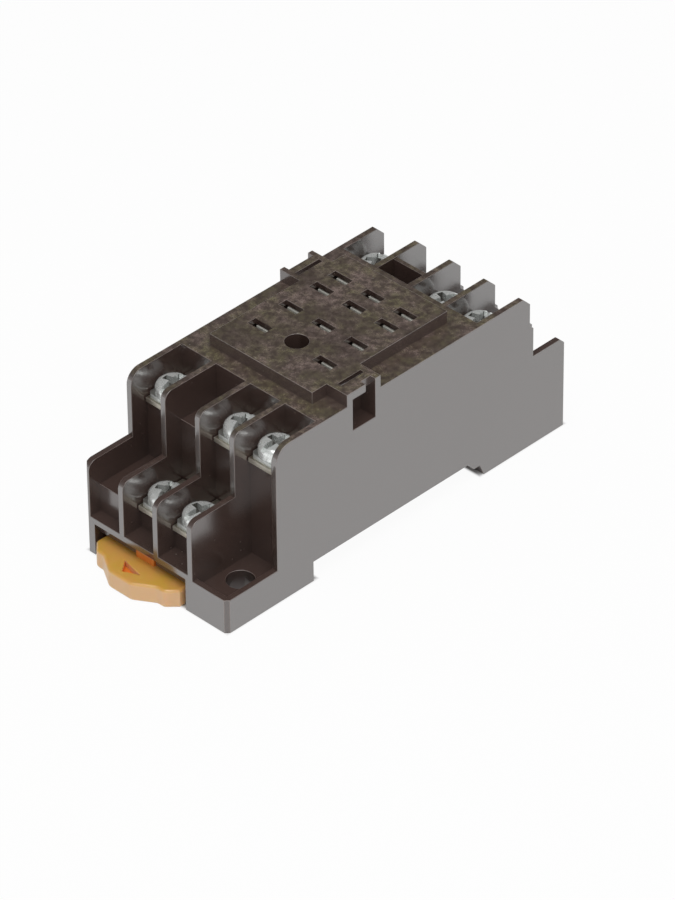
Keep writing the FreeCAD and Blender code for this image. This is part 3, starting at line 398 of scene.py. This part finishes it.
def screw_tree(metal):
    """Nodes that make a whole screw about Z from named sizes and put it at a place."""
    tree = bpy.data.node_groups.new("terminal_screw", "GeometryNodeTree")

    def named_input(name, kind):
        return tree.interface.new_socket(name, in_out="INPUT", socket_type=kind)

    for name, value in SCREW_SIZES.items():
        named_input(name, "NodeSocketFloat").default_value = value
    named_input("Place", "NodeSocketVector")
    named_input("Turn", "NodeSocketFloat")
    named_input("Metal", "NodeSocketMaterial").default_value = metal
    tree.interface.new_socket("Geometry", in_out="OUTPUT", socket_type="NodeSocketGeometry")
    size = tree.nodes.new("NodeGroupInput").outputs

    def reckon(operation, first, second=0.0):
        return reckoned(tree, operation, first, second)

    def vector(**parts):
        return add(tree, "ShaderNodeCombineXYZ", parts).outputs[0]

    def here():
        """Coordinates of each point as it stands."""
        return coordinates(tree, add(tree, "GeometryNodeInputPosition").outputs[0])

    def from_axis(spot):
        """Distance of a point from the screw's axis."""
        flat = vector(X=spot["X"], Y=spot["Y"])
        return add(tree, "ShaderNodeVectorMath", {0: flat}, operation="LENGTH").outputs["Value"]

    def stored(mesh, name, value, domain):
        """Mesh with a number stored on its edges or faces."""
        return add(tree, "GeometryNodeStoreNamedAttribute", {"Geometry": mesh, "Name": name, "Value": value},
                   domain=domain).outputs[0]

    def turned(sides, rings, radius, height, cap_rings=1):
        """Cylinder whose rings get a radius and a height from their number, counted up from 0."""
        blank = add(tree, "GeometryNodeMeshCylinder",
                    {"Vertices": sides, "Side Segments": rings, "Fill Segments": cap_rings, "Radius": 1.0,
                     "Depth": float(rings)}).outputs["Mesh"]
        spot = here()
        ring = reckon("ADD", spot["Z"], rings / 2)
        angle = reckon("ARCTAN2", spot["Y"], spot["X"])
        level = height(ring, from_axis(spot))
        width = radius(ring, angle, level)
        x, y = (reckon("MULTIPLY", spot[axis], width) for axis in "XY")
        place = vector(X=x, Y=y, Z=level)
        return add(tree, "GeometryNodeSetPosition", {"Geometry": blank, "Position": place}).outputs[0]

    def rim_turn(ring):
        """Angle along the rounded rim, from its foot up to the flat top."""
        share = reckon("DIVIDE", reckon("SUBTRACT", ring, 1.0), HEAD_RINGS - 1.0)
        return reckon("MULTIPLY", reckon("MAXIMUM", share, 0.0), math.pi / 2)

    def head_height(ring, inward):
        side = reckon("SUBTRACT", reckon("SUBTRACT", size["Head height"], size["Head round"]), size["Crown"])
        foot = reckon("MULTIPLY", reckon("MINIMUM", ring, 1.0), side)
        arc = reckon("MULTIPLY", reckon("SINE", rim_turn(ring)), size["Head round"])
        dome = reckon("SUBTRACT", 1.0, reckon("MULTIPLY", inward, inward))
        on_top = reckon("GREATER_THAN", ring, HEAD_RINGS - 0.5)
        crown = reckon("MULTIPLY", reckon("MULTIPLY", dome, on_top), size["Crown"])
        return reckon("ADD", reckon("ADD", foot, arc), crown)

    def head_radius(ring, angle, level):
        back = reckon("SUBTRACT", 1.0, reckon("COSINE", rim_turn(ring)))
        return reckon("SUBTRACT", size["Head radius"], reckon("MULTIPLY", back, size["Head round"]))

    def shank_height(ring, inward):
        step = reckon("DIVIDE", reckon("ADD", size["Shank length"], SHANK_IN_HEAD), float(SHANK_RINGS))
        return reckon("SUBTRACT", reckon("MULTIPLY", ring, step), size["Shank length"])

    def shank_radius(ring, angle, level):
        """Thread that winds round the shank as a zigzag, cut back by the bevel of the tip."""
        risen = reckon("DIVIDE", level, size["Thread pitch"])
        wind = reckon("FRACT", reckon("SUBTRACT", risen, reckon("DIVIDE", angle, 2 * math.pi)))
        wave = reckon("ABSOLUTE", reckon("SUBTRACT", reckon("MULTIPLY", wind, 2.0), 1.0))
        thread = reckon("SUBTRACT", size["Shank radius"], reckon("MULTIPLY", wave, size["Thread depth"]))
        tip_radius = reckon("SUBTRACT", size["Shank radius"], size["Tip bevel"])
        tip = reckon("ADD", reckon("ADD", level, size["Shank length"]), tip_radius)
        return reckon("MINIMUM", thread, tip)

    def bar(long, wide, deep):
        """Block from which a slot is cut, sunk to a depth under the top of the head."""
        reach = vector(X=long, Y=wide, Z=reckon("MULTIPLY", deep, 2.0))
        block = add(tree, "GeometryNodeMeshCube", {"Size": reach}).outputs["Mesh"]
        lift = vector(Z=size["Head height"])
        return add(tree, "GeometryNodeTransform", {"Geometry": block, "Translation": lift}).outputs[0]

    head = turned(HEAD_SIDES, HEAD_RINGS, head_radius, head_height, TOP_RINGS)
    slot_length = reckon("MULTIPLY", size["Head radius"], 2.5)
    arm = reckon("MULTIPLY", size["Cross reach"], 2.0)
    cutters = (bar(size["Slot width"], slot_length, size["Slot depth"]),
               bar(arm, size["Cross width"], size["Cross depth"]),
               bar(size["Cross width"], arm, size["Cross depth"]))
    for cutter in cutters:
        cut = add(tree, "GeometryNodeMeshBoolean", {"Mesh 1": head, "Mesh 2": cutter},
                  operation="DIFFERENCE", solver="EXACT")
        head = cut.outputs[0]
    corner = add(tree, "GeometryNodeInputMeshEdgeAngle").outputs["Unsigned Angle"]
    head = stored(head, "bevel_weight_edge", reckon("GREATER_THAN", corner, SCREW_SHARP), "EDGE")
    # Faces sunk in the slot and cross are marked as the recess, which the material darkens with grime and
    # painted shade.
    spot = here()
    highest = reckon("SUBTRACT", size["Head height"], GRIME_SHADE_UNDER_TOP)
    widest = reckon("SUBTRACT", size["Head radius"], GRIME_SHADE_INSIDE_RIM)
    under_top = reckon("LESS_THAN", spot["Z"], highest)
    over_foot = reckon("GREATER_THAN", spot["Z"], GRIME_SHADE_OVER_FOOT)
    inside_rim = reckon("LESS_THAN", from_axis(spot), widest)
    recess = reckon("MULTIPLY", reckon("MULTIPLY", under_top, over_foot), inside_rim)
    head = stored(head, "recess", recess, "FACE")
    shank = turned(SHANK_SIDES, SHANK_RINGS, shank_radius, shank_height)
    both = tree.nodes.new("GeometryNodeJoinGeometry")
    for part in (head, shank):
        tree.links.new(part, both.inputs[0])
    twist = add(tree, "FunctionNodeEulerToRotation", {0: vector(Z=size["Turn"])}).outputs[0]
    placed = add(tree, "GeometryNodeTransform", {"Geometry": both.outputs[0], "Translation": size["Place"],
                                                 "Rotation": twist})
    real = add(tree, "GeometryNodeRealizeInstances", {"Geometry": placed.outputs[0]}).outputs[0]
    whole = add(tree, "GeometryNodeSetMaterial", {"Geometry": real, "Material": size["Metal"]}).outputs[0]
    add(tree, "NodeGroupOutput", {"Geometry": whole})
    return tree


def screw_seat(node):
    """Point on the screw's axis right under its head, from the box of its CAD node."""
    low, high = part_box(node)
    return (low[0] + high[0]) / 2, (low[1] + high[1]) / 2, high[2] - SCREW_SIZES["Head height"]


# Pale screw zinc: painted light on the heads.
screw_look = plated("zinc_screw", SCREW_ZINC_PAINTED_PALER, 0.14, SCREW_GRAIN, SCREW_RELIEF, dull=0.2, metal=0.58,
                    fade=0.84)
turning = screw_tree(screw_look)
sockets = {item.name: item.identifier for item in turning.interface.items_tree}
for number in TERMINALS:
    node = f"terminal_screw_{number:02d}"
    screw = bpy.data.objects.new(f"zinc_{node}", bpy.data.meshes.new(f"zinc_{node}"))
    bpy.context.scene.collection.objects.link(screw)
    shape = screw.modifiers.new("screw", "NODES")
    shape.node_group = turning
    shape[sockets["Place"]] = screw_seat(node)
    shape[sockets["Turn"]] = math.radians(TURNS[number - 1])
    rounded = screw.modifiers.new("rounded", "BEVEL")
    rounded.limit_method = "WEIGHT"
    rounded.width = SCREW_EDGE
    rounded.segments = 2
    dress(finished(screw, screw_look), f"screw_{number:02d}", node)

# Stage: a plain pale floor under the feet and a soft box overhead, in a room that is white low down and
# dimmer above. The floor looks white to the eye outside the socket's outline and inside its rail groove,
# through the narrow bands named here, and stays in shade under the feet.
FLOOR_SIZE = 6.0
FLOOR_GREY = (0.8, 0.8, 0.8, 1)
WHITE = (1, 1, 1, 1)
FLOOR_WHITENESS = 0.95
SIDE_FROM, SIDE_TO = 14.35 * MM, 14.95 * MM
END_FROM, END_TO = 35.6 * MM, 36.2 * MM
GROOVE_SIDE_FROM, GROOVE_SIDE_TO = 6 * MM, 9 * MM
GROOVE_END_FROM, GROOVE_END_TO = 17.5 * MM, 17 * MM
ROOM_LIGHT = 0.42
WALL_TOP = 0.4
ROOM_BEHIND, ROOM_BEFORE = 0.06, 0.45
LAMP_PLACE, LAMP_AIM = Vector((0.16, -0.14, 0.56)), Vector((0, 0, 0.01))
LAMP_SIZE, LAMP_RADIANCE = 0.45, 3.4


def any_of(tree, *values):
    """The highest of some values from 0 to 1."""
    highest = values[0]
    for value in values[1:]:
        highest = reckoned(tree, "MAXIMUM", highest, value)
    return highest


def white_to_eye(tree, matter, share):
    """White where the camera or a reflection looks, and the plain material for all other light."""
    rays = add(tree, "ShaderNodeLightPath").outputs
    seen = any_of(tree, rays["Is Camera Ray"], rays["Is Glossy Ray"], rays["Is Transmission Ray"])
    glow = add(tree, "ShaderNodeEmission", {"Color": WHITE, "Strength": 1.0}).outputs[0]
    return add(tree, "ShaderNodeMixShader", {0: times(tree, seen, share), 1: matter, 2: glow}).outputs[0]


def floor_paint():
    """Pale grey paint that looks white outside the socket's outline and inside its rail groove."""
    material = bpy.data.materials.new("floor")
    material.use_nodes = True
    tree = material.node_tree
    tree.nodes.clear()
    paint = add(tree, "ShaderNodeBsdfDiffuse", {"Color": FLOOR_GREY}).outputs[0]
    spot = coordinates(tree, add(tree, "ShaderNodeTexCoord").outputs["Object"])
    across = reckoned(tree, "ABSOLUTE", spot["X"])
    along = reckoned(tree, "ABSOLUTE", reckoned(tree, "SUBTRACT", spot["Y"], HOUSING_MIDDLE))
    past_end = ramp(tree, along, END_FROM, END_TO)
    past_side = ramp(tree, across, SIDE_FROM, SIDE_TO)
    in_groove = times(tree, ramp(tree, across, GROOVE_SIDE_FROM, GROOVE_SIDE_TO),
                      ramp(tree, along, GROOVE_END_FROM, GROOVE_END_TO))
    clear = any_of(tree, past_end, past_side, in_groove)
    surface = white_to_eye(tree, paint, times(tree, clear, FLOOR_WHITENESS))
    add(tree, "ShaderNodeOutputMaterial", {"Surface": surface})
    return material


half = FLOOR_SIZE / 2
floor_corners = [(-half, -half, 0), (half, -half, 0), (half, half, 0), (-half, half, 0)]
floor_mesh = bpy.data.meshes.new("floor")
floor_mesh.from_pydata(floor_corners, [], [(0, 1, 2, 3)])
floor_mesh.materials.append(floor_paint())
floor = bpy.data.objects.new("floor", floor_mesh)
bpy.context.scene.collection.objects.link(floor)


def studio_world():
    """White to the eye, even light on the object, and reflections that are bright low down and in front."""
    world = bpy.data.worlds.new("studio")
    world.use_nodes = True
    tree = world.node_tree
    tree.nodes.clear()

    def glow(strength):
        return add(tree, "ShaderNodeBackground", {"Color": WHITE, "Strength": strength}).outputs[0]

    rays = add(tree, "ShaderNodeLightPath").outputs
    direction = coordinates(tree, add(tree, "ShaderNodeTexCoord").outputs["Generated"])
    nearer = reckoned(tree, "SUBTRACT", direction["X"], direction["Y"])
    upper = ramp(tree, nearer, -0.3, 0.7, ROOM_BEHIND, ROOM_BEFORE)
    mirrored = glow(ramp(tree, direction["Z"], 0.0, WALL_TOP, 1.0, upper))
    mix = add(tree, "ShaderNodeMixShader", {0: rays["Is Glossy Ray"], 1: glow(ROOM_LIGHT), 2: mirrored})
    mix = add(tree, "ShaderNodeMixShader", {0: rays["Is Camera Ray"], 1: mix.outputs[0], 2: glow(1.0)})
    add(tree, "ShaderNodeOutputWorld", {"Surface": mix.outputs[0]})
    return world


bpy.context.scene.world = studio_world()

lamp = bpy.data.lights.new("overhead", "AREA")
lamp.shape = "SQUARE"
lamp.size = LAMP_SIZE
lamp.energy = LAMP_RADIANCE * math.pi * LAMP_SIZE ** 2
overhead = bpy.data.objects.new("overhead", lamp)
bpy.context.scene.collection.objects.link(overhead)
overhead.location = LAMP_PLACE
overhead.rotation_euler = (LAMP_AIM - LAMP_PLACE).to_track_quat("-Z", "Y").to_euler()

# Camera: at the photograph's angle, with a long lens about a metre away. The socket is as large and as
# far off the middle of the picture as it is in the photograph.
AZIMUTH, ELEVATION, ROLL = math.radians(44.888), math.radians(36.636), math.radians(-0.569)
DISTANCE = 986.9 * MM
PIXELS_PER_METRE = 6743.0
PHOTO_WIDTH = 675
LOOK_AT = Vector((0, HOUSING_MIDDLE, 14.0 * MM))
OFF_RIGHT, OFF_UP = -1.349 * MM, 5.915 * MM

back = Vector((math.sin(AZIMUTH) * math.cos(ELEVATION), -math.cos(AZIMUTH) * math.cos(ELEVATION),
               math.sin(ELEVATION)))
level = Vector((math.cos(AZIMUTH), math.sin(AZIMUTH), 0))
rise = back.cross(level)
right = level * math.cos(ROLL) + rise * math.sin(ROLL)
up = rise * math.cos(ROLL) - level * math.sin(ROLL)
camera_data = bpy.data.cameras.new("camera")
camera_data.sensor_fit = "HORIZONTAL"
camera_data.sensor_width = 36
camera_data.lens = PIXELS_PER_METRE * DISTANCE * camera_data.sensor_width / PHOTO_WIDTH
camera_data.clip_end = 20
camera = bpy.data.objects.new("camera", camera_data)
bpy.context.scene.collection.objects.link(camera)
camera_place = LOOK_AT - right * OFF_RIGHT - up * OFF_UP + back * DISTANCE
camera.matrix_world = Matrix.Translation(camera_place) @ Matrix((right, up, back)).transposed().to_4x4()
bpy.context.scene.camera = camera
bpy.context.scene.view_settings.view_transform = "Standard"
